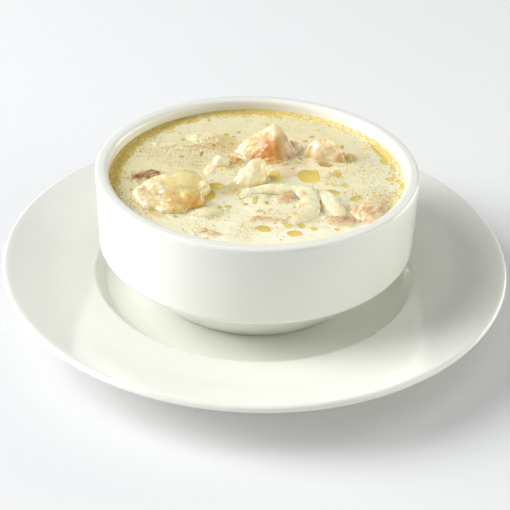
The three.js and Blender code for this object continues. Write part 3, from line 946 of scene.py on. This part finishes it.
class Oval:
    """A soft-edged oval place on the soup: middle, half length, half width in mm, and turn."""

    def __init__(self, x, y, long, wide, turn=0.0):
        self.middle = Vector((x * MM, y * MM)) + LAYOUT.xy
        self.long, self.wide = long * MM, wide * MM
        self.along = Vector((math.cos(math.radians(turn)), math.sin(math.radians(turn))))

    def cover(self, place, seed=0.0):
        """1 inside, 0 outside, with a ragged soft edge."""
        offset = place.xy - self.middle
        if offset.length > 1.8 * self.long:
            return 0.0
        along = offset.dot(self.along) / self.long
        across = offset.cross(self.along) / self.wide
        return 1 - ramp(math.hypot(along, across) + 0.25 * waves(place, 3 * MM, seed), 0.55, 1.15)


# What shows through the soup: its oval, its colour, how clearly it shows, and how far it swells.
SUNKEN = (
    (Oval(-22, 27, 6.5, 4), srgb(252, 242, 204), 0.9, 1.2),
    (Oval(-18, 23, 4, 4.5), srgb(246, 218, 170), 0.7, 0.6),
    (Oval(-22, 18, 8.5, 3, 8), srgb(222, 184, 138), 0.75, 0.7),
    (Oval(-37, 18, 7, 1.6, 22), srgb(252, 244, 212), 0.9, 0.7),
    (Oval(-12.5, 22, 5, 9, 10), srgb(226, 202, 146), 0.7, 0.2),
    (Oval(-10, 8, 3, 5, 20), srgb(224, 168, 98), 0.8, 0.4),
    (Oval(-12, 3, 2.6, 3.4), srgb(238, 214, 130), 0.7, 0.2),
    (Oval(7, 7, 6, 3), srgb(206, 156, 98), 0.7, 0.4),
    (Oval(10, -1, 5, 5.5), srgb(228, 202, 158), 0.8, 0.4),
    (Oval(13.5, 16, 3.6, 6), srgb(196, 164, 124), 0.8, 0.3),
    (Oval(25.5, 8, 4, 1.8, -25), srgb(190, 150, 78), 0.9, 0),
    (Oval(35.5, 13, 3, 4.5, 10), srgb(216, 180, 104), 0.8, 0),
    (Oval(26.4, -1, 1.1, 6), srgb(252, 226, 188), 0.8, 0.4),
    (Oval(30, 0, 2, 3.4), srgb(220, 174, 96), 0.7, 0),
    (Oval(-18, 0, 2, 5), srgb(253, 246, 222), 0.7, 0.5),
    (Oval(-8, -15, 5, 6, 30), srgb(222, 194, 150), 0.8, 0.6),
    (Oval(-27, -9, 9, 8), srgb(250, 226, 160), 0.6, 0.2),
    (Oval(0, -20, 5, 6), srgb(248, 232, 196), 0.8, 0.8),
    (Oval(7, -26, 11, 7), srgb(253, 244, 212), 0.9, 0.5),
    (Oval(11.5, -20.5, 5, 3, 33), srgb(222, 172, 126), 0.9, 0.4),
    (Oval(21.4, -23, 7.5, 1.7, -72), srgb(192, 144, 70), 0.9, -0.3),
    (Oval(3.6, -35.5, 7.5, 2, -8), srgb(238, 190, 146), 0.8, 0.5),
    (Oval(11.5, -37, 2, 2.4), srgb(206, 140, 84), 0.8, 0.2),
    (Oval(31, -30, 5, 6, 20), srgb(224, 200, 158), 0.7, 0.5),
    (Oval(36, -18, 1.8, 3, -40), srgb(212, 192, 106), 0.8, 0),
    (Oval(45, -19, 6, 5, 30), srgb(240, 214, 164), 0.7, 0.6),
    (Oval(29, -36, 6, 2.4, -12), srgb(226, 180, 138), 0.8, 0.4),
    (Oval(-15.5, -45.2, 5, 1.5, -16), srgb(226, 172, 112), 0.8, 0.3),
    (Oval(-19, -33, 4, 3.4), srgb(253, 250, 226), 0.9, 0.5),
    (Oval(-36, -32, 6, 2.2, -38), srgb(226, 180, 98), 0.6, 0),
    (Oval(-44.5, -9, 4, 4), srgb(196, 178, 146), 0.5, 0),
)

# Where the soup is frothy, and how much.
FROTHY = (
    (Oval(-41, 16, 6, 10, 0), 0.7), (Oval(-27, 7, 12, 7), 0.9), (Oval(-20, 15, 12, 6), 0.6),
    (Oval(-17, -31, 8, 6, -10), 0.8), (Oval(-4, -43, 6, 8), 0.6), (Oval(13, 7, 7, 4), 0.9),
    (Oval(29, -5, 5, 7), 0.8), (Oval(41, -15, 12, 6, 10), 0.8), (Oval(-8, -14, 6, 6), 0.9),
    (Oval(31, -29, 6, 6), 0.8), (Oval(-42, -6, 6, 5), 0.8), (Oval(-35, -27, 10, 4, -35), 0.8),
    (Oval(40, 2, 10, 12), 0.45), (Oval(15, 40, 14, 6), 0.25), (Oval(8, -32, 12, 3, -10), 0.5),
)


# The oily band along the wall: the bearing and reach of each stretch in degrees, how thick it
# is, and how squarely it ends.
BAND = ((158, 46, 1, 4), (95, 40, 0.75, 2), (35, 40, 0.3, 2))


def wall_oil(place, inside):
    """How far the oily band covers a place, and the angle of that place round the bowl."""
    angle = math.atan2(place.y, place.x)
    angle += math.tau if angle < -math.pi / 2 else 0
    bearing = math.degrees(angle)
    thickness = max(thick * math.exp(-((bearing - middle) / spread) ** squareness)
                    for middle, spread, thick, squareness in BAND)
    reach = (inside - math.hypot(place.x, place.y)) / MM
    width = 5.2 * thickness + 0.9 * waves(place, 2.5 * MM, 6)
    return min(1.0, thickness * 1.2) * (1 - ramp(reach, width - 1.4, width + 0.4)), angle


SOUP_PAINTED_SHADE_AT_BACK = (0.865, 0.83, 0.715)      # painted shade: the soup painted darker and yellower towards the back left
SHADE_BESIDE_PIECES = (0.92, 0.82, 0.6)    # painted shade: the soup painted darker and yellower close beside a piece


def froth_at(place):
    """How frothy the soup is at a place, 0 to 1."""
    return max(oval.cover(place, 20 + i) * much for i, (oval, much) in enumerate(FROTHY))


def ring_shade(soup, angle, low, high):
    """The colour of the oil along the wall: yellow on the right, olive on the left, partly painted
    shade.
    """
    return mix(tuple(soup.yellow), tuple(soup.olive), ramp(angle, low, high))


def against(colour, ground):
    """The factor that turns the ground's colour into another."""
    return tuple(c / g for c, g in zip(colour, ground))


class SOUP_OT_broth(bpy.types.Operator):
    """Fill the bowl with soup"""
    bl_idname = "soup.broth"
    bl_label = "Broth"

    def shape(self, bm, tree, inside, meniscus):
        """Raises the wet edges and what lies just under the surface."""
        for vertex in bm.verts:
            place = vertex.co
            if place.z < SOUP_LEVEL - TINY:
                continue
            reach = math.hypot(place.x, place.y)
            climb = meniscus * math.exp((reach - inside) / (0.8 * MM))
            climb = max(climb, 0.5 * MM * math.exp(-tree.find_nearest(place)[3] / (0.7 * MM)))
            rise = sum(oval.cover(place, i) * swelling
                       for i, (oval, _, _, swelling) in enumerate(SUNKEN) if swelling)
            rise = min(rise, 1.4) + 0.1 * waves(place, 2.4 * MM, 9) + 0.2 * waves(place, 8 * MM, 2)
            calm = ramp(inside - reach, 2 * MM, 7 * MM)
            vertex.co.z += min(climb, meniscus) + rise * calm * MM

    def colour(self, place, tree, inside, soup):
        # Painted shade: darker towards the back left, lighter towards the front right.
        shade = mix(SOUP_PAINTED_SHADE_AT_BACK, (1.0, 1.0, 1.0), ramp(0.4 * place.x - place.y, -15 * MM, 45 * MM))
        for i, (oval, colour, clearness, _) in enumerate(SUNKEN):
            cover = oval.cover(place, i)
            if cover:
                shade = mix(shade, against(colour, soup.cream), cover * clearness)
        # Painted shade: darker and yellower close beside a piece.
        beside = math.exp(-tree.find_nearest(place)[3] / (1.8 * MM))
        shade = mix(shade, SHADE_BESIDE_PIECES, beside * (0.3 + 0.5 * waves(place, 2.5 * MM)))
        # The oily band along the wall; its olive on the left is partly painted shade.
        oily, angle = wall_oil(place, inside)
        return mix(shade, against(ring_shade(soup, angle, 1.0, 2.1), soup.cream), oily * 0.85)

    def execute(self, context):
        soup = context.scene.soup_broth
        dish = context.scene.soup_dish
        into_wall = 0.6 * MM
        inside = BOWL_HIGH.x - dish.wall
        edge = inside + into_wall
        floor = BOWL_LOW.z + dish.foot_depth + dish.floor - into_wall
        turn = (inside - dish.floor_round, floor + dish.floor_round + into_wall)
        profile = [(0, floor), (FLAT_FLOOR, floor + FLOOR_RISE)]
        profile += arc(turn, dish.floor_round + into_wall, FLOOR_TURN, 0, 8)
        profile += [(edge * (1 - i / SOUP_RINGS) ** 0.8, SOUP_LEVEL) for i in range(SOUP_RINGS + 1)]
        bm = bmesh.new()
        turned(bm, profile, SOUP_SEGMENTS)
        tree = pieces_tree()
        self.shape(bm, tree, inside, soup.meniscus)
        piece = add_piece("broth_surface", bm, broth_finish(soup), "broth", "broth")
        paint(piece, lambda place, normal: self.colour(place, tree, inside, soup))
        froth = piece.data.attributes.new("froth", "FLOAT", "POINT")
        for vertex in piece.data.vertices:
            amount = max(froth_at(vertex.co), wall_oil(vertex.co, inside)[0])
            froth.data[vertex.index].value = amount * (0.6 + 0.8 * abs(waves(vertex.co, 2 * MM, 5)))
        return {"FINISHED"}


class Drops:
    """Lens-shaped drops on the soup, joined in one mesh, each clear of the others."""

    cell = 2.5 * MM          # size of the squares in which drops look for their neighbours
    search = 3               # how many squares away they look
    base = 0.5 * MM          # how far a drop's flat base lies in the soup
    proud = 0.02 * MM        # how far its edge stands on the soup
    above = 50 * MM          # from this far above, the soup's height is measured

    def __init__(self, tree):
        self.tree = tree
        self.taken = {}
        self.clear()

    def clear(self):
        self.bm = bmesh.new()
        self.tint = self.bm.verts.layers.float_color.new("tint")

    def square(self, x, y):
        return int(x // self.cell), int(y // self.cell)

    def free(self, x, y, radius, overlap=0.9):
        """Whether a drop of that radius fits between the drops that are there."""
        column, row = self.square(x, y)
        for i in range(column - self.search, column + self.search + 1):
            for j in range(row - self.search, row + self.search + 1):
                for ox, oy, other in self.taken.get((i, j), ()):
                    if math.hypot(x - ox, y - oy) < overlap * (radius + other):
                        return False
        return True

    def surface(self, x, y):
        """The height of the soup there, or None where a piece stands in it."""
        start = Vector((x, y, SOUP_LEVEL + self.above))
        piece = self.tree.ray_cast(start, DOWN)[0]
        soup = self.soup.ray_cast(start, DOWN)[0]
        if piece is not None and piece.z > soup.z - 0.1 * MM:
            return None
        return soup.z

    def add(self, x, y, long, wide, turn, shade, rise, segments, rings,
            square=2.0, ragged=0.0, seed=0):
        """One drop: a low dome closed below by a flat base, with painted light and shade on it."""
        level = self.surface(x, y)
        if level is None:
            return False
        self.taken.setdefault(self.square(x, y), []).append((x, y, math.sqrt(long * wide)))
        loops = []
        for ring in range(rings + 1):
            out = (ring + 1) / (rings + 1) if ring < rings else 1
            loop = []
            for i in range(segments):
                angle = math.tau * i / segments
                c, s = math.cos(angle), math.sin(angle)
                grow = (abs(c) ** square + abs(s) ** square) ** (-1 / square)
                grow *= out * (1 + ragged * noise.noise(Vector((c, s, seed)) * 1.3))
                along, across = grow * long * c, grow * wide * s
                place = Vector((
                    x + along * math.cos(turn) - across * math.sin(turn),
                    y + along * math.sin(turn) + across * math.cos(turn)))
                if ring == rings:
                    height = level - self.base
                else:
                    start = Vector((*place, SOUP_LEVEL + self.above))
                    ground = self.soup.ray_cast(start, DOWN)[0]
                    height = (ground.z if ground else level) + self.proud
                    height += rise * (1 - (out * 0.97) ** 2.6)
                vertex = self.bm.verts.new((place.x, place.y, height))
                # Painted light and shade: lighter towards the right front, darker round the edge at
                # the back left.
                side = (math.cos(angle + turn) - math.sin(angle + turn)) / math.sqrt(2)
                painted_light = (1 + 0.18 * out * side) * (1 - 0.16 * out ** 4 * (1 - side))
                vertex[self.tint] = (*(c * painted_light for c in shade), 1)
                loop.append(vertex)
            loops.append(loop)
        top = self.bm.verts.new((x, y, level + rise))
        top[self.tint] = (*shade, 1)
        for i in range(segments):
            j = (i + 1) % segments
            self.bm.faces.new((loops[0][i], loops[0][j], top))
            for inner, outer in zip(loops, loops[1:]):
                self.bm.faces.new((outer[i], outer[j], inner[j], inner[i]))
        self.bm.faces.new(reversed(loops[-1]))
        return True


# The larger pools by their oil: x, y, half length, half width in mm, and turn in degrees.
POOLS = {
    "yellow": (
        (19.5, -2.4, 4.9, 5.6, 0), (6.6, -3.6, 4.6, 2.5, -72), (48.4, 18, 8.6, 2.4, -67),
        (42, 21.6, 1.4, 1.2, 0), (49.6, -3.2, 2.1, 1.6, 20), (32.5, -9, 1.8, 1.5, 20),
        (13.2, -43.6, 3, 2.3, 8), (20, -40.3, 1.5, 1.2, 0), (28, -40, 1.1, 0.8, 0),
        (-30.4, 16, 2.1, 2, 0), (-15, -12.4, 3.6, 3.2, 0),
    ),
    "gold": (
        (28.1, -14.6, 3, 1.9, -30), (2.4, -41, 3.2, 2.4, -10), (36, -18, 2.6, 1.4, 60),
        (-0.5, -23, 2.6, 1.1, 80), (35, 13, 3.3, 1.7, 80), (-11, 21, 1.9, 1.4, 60),
        (43, -14, 1.2, 0.9, 0), (15.8, 7.4, 1.3, 1, 0), (15.8, -39, 1.5, 1.3, 0),
        (11.4, -38.6, 1.9, 1.3, 5), (-10, -27, 1.5, 1.4, 0), (1.2, -30, 1.2, 0.9, 0),
        (30.2, 2, 1.2, 1, 0),
    ),
    "amber": (
        (-17, -19.6, 4.3, 2.1, 80), (24.4, -32.2, 2.6, 1.9, 80), (30, -0.6, 1.6, 1.3, 70),
        (33, 16, 1.5, 1, 70), (-23.4, 20, 1.3, 1, 0),
    ),
    "olive": (
        (-29, 39.6, 0.8, 0.7, 0), (18.6, 26.4, 1.4, 0.9, 30), (21.4, 30.4, 1.3, 0.8, 20),
        (33, 22, 2.2, 0.9, 80), (-13, 30, 1.3, 1, 0), (-10, 28.6, 0.9, 0.7, 0),
        (-8, 32.6, 1, 0.9, 0), (-30, 24, 1.2, 0.8, 80), (-29.4, 9.8, 1.3, 0.9, 0),
        (-28.4, -35, 1, 0.8, 0), (16.4, 11, 1.1, 0.8, -40), (13.2, 2.8, 0.9, 0.7, 60),
        (-4, -25, 0.9, 0.8, 0), (3.6, -24.4, 0.9, 0.8, 0), (-54, -7, 1.9, 0.9, 84),
        (3.2, 40.2, 0.7, 0.6, 0),
    ),
    "brown": (
        (25.5, 6.4, 3.2, 1.1, -20), (-17.6, 18.4, 1.2, 0.8, 80), (33.4, 11, 0.9, 0.6, 80),
        (-22, 12.6, 1.8, 0.7, 80), (-13, -27.6, 0.8, 0.6, 0),
    ),
}
LARGEST = ("yellow", 0)      # the name and place above of the largest pool
SQUARE_POOL = 2.6            # how square that pool's outline is; 2 is an oval
RAGGED = 0.2                 # how uneven the outline of a pool is
TRIES = 60                   # how often a place is looked for, for each drop wanted
SEED = 31                    # of the places of the drops


class SOUP_OT_oil(bpy.types.Operator):
    """Float the oil drops and the froth"""
    bl_idname = "soup.oil"
    bl_label = "Oil and froth"

    def pools(self, drops, soup):
        for name, pools in POOLS.items():
            shade = tuple(getattr(soup, name))
            for seed, (x, y, long, wide, turn) in enumerate(pools):
                square = SQUARE_POOL if (name, seed) == LARGEST else 2.0
                drops.add(
                    x * MM, y * MM + LAYOUT.y, long * MM, wide * MM, math.radians(turn), shade,
                    rise=0.2 * MM, segments=32, rings=6, square=square, ragged=RAGGED, seed=seed)

    def wall_pools(self, drops, rng, inside, soup):
        """Larger blobs of oil in a ragged row along the back of the wall."""
        angle = math.radians(-14)
        while angle < math.radians(172):
            long, wide = rng.uniform(1, 3.2) * MM, rng.uniform(0.8, 1.6) * MM
            reach = inside - wide - rng.uniform(0.3, 3.4) * MM
            x, y = reach * math.cos(angle), reach * math.sin(angle)
            # Olive towards the left, partly painted shade.
            olive_and_painted_shade = ramp(angle, 0.9, 1.9) * rng.uniform(0.5, 1)
            shade = mix(tuple(soup.yellow), tuple(soup.olive), olive_and_painted_shade)
            if drops.free(x, y, long, 0.8):
                drops.add(x, y, long, wide, angle + math.pi / 2, shade,
                          rise=0.15 * MM, segments=20, rings=4, ragged=RAGGED, seed=angle)
            angle += (long + rng.uniform(0.2, 1.6) * MM) / inside

    def along_wall(self, drops, count, rng, inside, soup):
        """Small drops, close together in the oily band along the wall."""
        made = tries = 0
        while made < count and tries < TRIES * count:
            tries += 1
            angle = rng.uniform(-0.5, math.pi + 0.6)
            reach = inside - 0.4 * MM - abs(rng.gauss(0, 1)) * 2.6 * MM
            place = Vector((reach * math.cos(angle), reach * math.sin(angle), SOUP_LEVEL))
            oily, turn = wall_oil(place, inside)
            if rng.random() > oily + 0.03:
                continue
            radius = rng.choice((0.3, 0.4, 0.5, 0.6, 0.8)) * MM * rng.uniform(0.8, 1.25)
            if reach + radius > inside or not drops.free(place.x, place.y, radius):
                continue
            # Yellow to olive round the wall; the olive is partly painted shade.
            shade = mix(ring_shade(soup, turn, 1.0, 2.3), tuple(soup.gold), rng.random() * 0.6)
            bright = rng.uniform(0.8, 1.25)
            shade = tuple(c * bright for c in shade)
            made += drops.add(place.x, place.y, radius * 1.15, radius, angle + math.pi / 2, shade,
                              rise=0.2 * radius, segments=10, rings=2)

    def loose(self, drops, count, rng, inside, sizes, height, segments, shades):
        """Drops or bubbles where the soup is frothy and beside its pieces."""
        made = tries = 0
        while made < count and tries < TRIES * count:
            tries += 1
            x, y = rng.uniform(-inside, inside), rng.uniform(-inside, inside)
            if math.hypot(x, y) > inside - 1.2 * MM:
                continue
            place = Vector((x, y, SOUP_LEVEL))
            amount = froth_at(place)
            beside = math.exp(-drops.tree.find_nearest(place)[3] / (2 * MM))
            if rng.random() > 0.015 + 0.8 * amount + 0.5 * beside:
                continue
            radius = rng.choice(sizes) * MM * rng.uniform(0.8, 1.2)
            if not drops.free(x, y, radius):
                continue
            shade = mix(*shades, rng.random())
            stretch = rng.uniform(1, 1.25)
            made += drops.add(x, y, radius * stretch, radius, rng.uniform(0, 3), shade,
                              rise=height * radius, segments=segments, rings=2)

    def execute(self, context):
        soup = context.scene.soup_broth
        inside = BOWL_HIGH.x - context.scene.soup_dish.wall
        rng = random.Random(SEED)
        drops = Drops(pieces_tree())
        surface = bpy.data.objects["broth_surface"].data
        drops.soup = BVHTree.FromPolygons(
            [vertex.co for vertex in surface.vertices],
            [polygon.vertices for polygon in surface.polygons])
        self.pools(drops, soup)
        self.wall_pools(drops, rng, inside, soup)
        add_piece("oil_pools", drops.bm, oil_finish("pool_oil"), "oil")
        drops.clear()
        self.along_wall(drops, soup.wall_drops, rng, inside, soup)
        add_piece("oil_ring", drops.bm, oil_finish("ring_oil", 0.16), "oil")
        drops.clear()
        self.loose(drops, soup.loose_drops, rng, inside, sizes=(0.3, 0.35, 0.45, 0.6),
                   height=0.35, segments=10, shades=(tuple(soup.yellow), srgb(222, 202, 130)))
        add_piece("oil_drops", drops.bm, oil_finish("drop_oil"), "oil")
        drops.clear()
        self.loose(drops, soup.froth_drops, rng, inside, sizes=(0.2, 0.26, 0.32),
                   height=0.8, segments=8, shades=(srgb(255, 252, 232), srgb(242, 228, 176)))
        add_piece("froth", drops.bm, oil_finish("bubbles"), "broth")
        return {"FINISHED"}


# ------------------------------------------------------------------ stage

WHITE, WARM = (1, 1, 1), (1, 0.99, 0.88)
SKY = (0.78, 0.89, 1, 1)     # colour of the even light all round
# Each softbox: its bearing and height in degrees, its share of the power, and its light.
SOFTBOXES = (
    ("left_high", 180, 42, 0.235, WHITE), ("left_mid", 180, 27, 0.09, WHITE),
    ("left_low", 180, 12, 0.285, WHITE), ("back_right", 30, 12, 0.13, WARM),
    ("front_right", 330, 20, 0.085, WARM), ("right_top", 0, 60, 0.02, WHITE),
    ("right_low", 0, 11, 0.07, WARM), ("back_left", 150, 42, 0.015, WHITE),
    ("back_high", 60, 42, 0.01, WHITE), ("front_top", 270, 76, 0.05, WHITE),
)
TABLE_HALF = 3               # half the table's width, in metres
SENSOR = 36                  # width of the camera's sensor, in mm


def softbox(name, azimuth, elevation, power, shade, stage):
    """A round lamp at its distance from the dish, turned to it; angles in radians."""
    light = bpy.data.lights.new(name, "AREA")
    light.shape = "DISK"
    light.size = stage.lamp_size
    light.energy = power
    light.color = shade
    lamp = bpy.data.objects.new(name, light)
    flat = stage.lamp_reach * math.cos(elevation)
    lamp.location = (
        flat * math.cos(azimuth), flat * math.sin(azimuth), stage.lamp_reach * math.sin(elevation))
    lamp.rotation_euler = (-lamp.location).to_track_quat("-Z", "Y").to_euler()
    bpy.context.scene.collection.objects.link(lamp)


class SOUP_OT_stage(bpy.types.Operator):
    """Lay the floor and set the light and the camera"""
    bl_idname = "soup.stage"
    bl_label = "Stage"

    def execute(self, context):
        stage = context.scene.soup_stage
        bm = bmesh.new()
        corners = ((-1, -1), (1, -1), (1, 1), (-1, 1))
        bm.faces.new([bm.verts.new((x * TABLE_HALF, y * TABLE_HALF, 0)) for x, y in corners])
        mesh = bpy.data.meshes.new("table")
        bm.to_mesh(mesh)
        bm.free()
        floor = bpy.data.objects.new("table", mesh)
        finish = Finish("table_white", specular_ior_level=0.1)
        white = tuple(stage.floor)
        finish.set(
            base_color=finish.blend(finish.noise(8, 2), white, tuple(0.99 * c for c in white)),
            roughness=0.75 + 0.1 * finish.noise(30, 2))
        mesh.materials.append(finish.material)
        context.scene.collection.objects.link(floor)
        floor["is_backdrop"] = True

        target = Vector((0, 0, SAUCER_HIGH.z - stage.drop))
        for name, azimuth, elevation, share, shade in SOFTBOXES:
            softbox(name, math.radians(azimuth), math.radians(elevation), share * stage.power,
                    shade, stage)
        world = bpy.data.worlds.new("studio")
        world.use_nodes = True
        background = world.node_tree.nodes["Background"]
        background.inputs["Color"].default_value = SKY
        background.inputs["Strength"].default_value = stage.ambient
        context.scene.world = world
        context.scene.view_settings.view_transform = "Standard"

        lens = bpy.data.cameras.new("camera")
        lens.lens = stage.lens
        lens.sensor_width = SENSOR
        lens.clip_start = 0.01
        camera = bpy.data.objects.new("camera", lens)
        away = Vector((0, -math.cos(stage.elevation), math.sin(stage.elevation)))
        look = (-away).to_track_quat("-Z", "Y").to_matrix().to_4x4()
        spin = Matrix.Rotation(stage.roll, 4, "Z")
        camera.matrix_world = Matrix.Translation(target + away * stage.distance) @ look @ spin
        context.scene.collection.objects.link(camera)
        context.scene.camera = camera
        return {"FINISHED"}


# ------------------------------------------------------------------ panel and register

STEPS = (SOUP_OT_dish, SOUP_OT_skin, SOUP_OT_jelly, SOUP_OT_sinew, SOUP_OT_meat,
         SOUP_OT_broth, SOUP_OT_oil, SOUP_OT_stage)


class VIEW3D_PT_soup(bpy.types.Panel):
    """Makes the soup piece by piece"""
    bl_label = "Trotter Soup"
    bl_space_type = "VIEW_3D"
    bl_region_type = "UI"
    bl_category = "Soup"

    def draw(self, context):
        for step in STEPS:
            self.layout.operator(step.bl_idname)


SETTINGS = {"soup_dish": DishSettings, "soup_broth": SoupSettings, "soup_stage": StageSettings}


def register():
    for settings in SETTINGS.values():
        bpy.utils.register_class(settings)
    for name, settings in SETTINGS.items():
        setattr(bpy.types.Scene, name, bpy.props.PointerProperty(type=settings))
    for step in STEPS:
        bpy.utils.register_class(step)
    bpy.utils.register_class(VIEW3D_PT_soup)


def unregister():
    bpy.utils.unregister_class(VIEW3D_PT_soup)
    for step in reversed(STEPS):
        bpy.utils.unregister_class(step)
    for name, settings in SETTINGS.items():
        delattr(bpy.types.Scene, name)
        bpy.utils.unregister_class(settings)


def main():
    register()
    bpy.ops.soup.dish()
    bpy.ops.soup.skin()
    bpy.ops.soup.jelly()
    bpy.ops.soup.sinew()
    bpy.ops.soup.meat()
    bpy.ops.soup.broth()
    bpy.ops.soup.oil()
    bpy.ops.soup.stage()


if __name__ == "__main__":
    main()
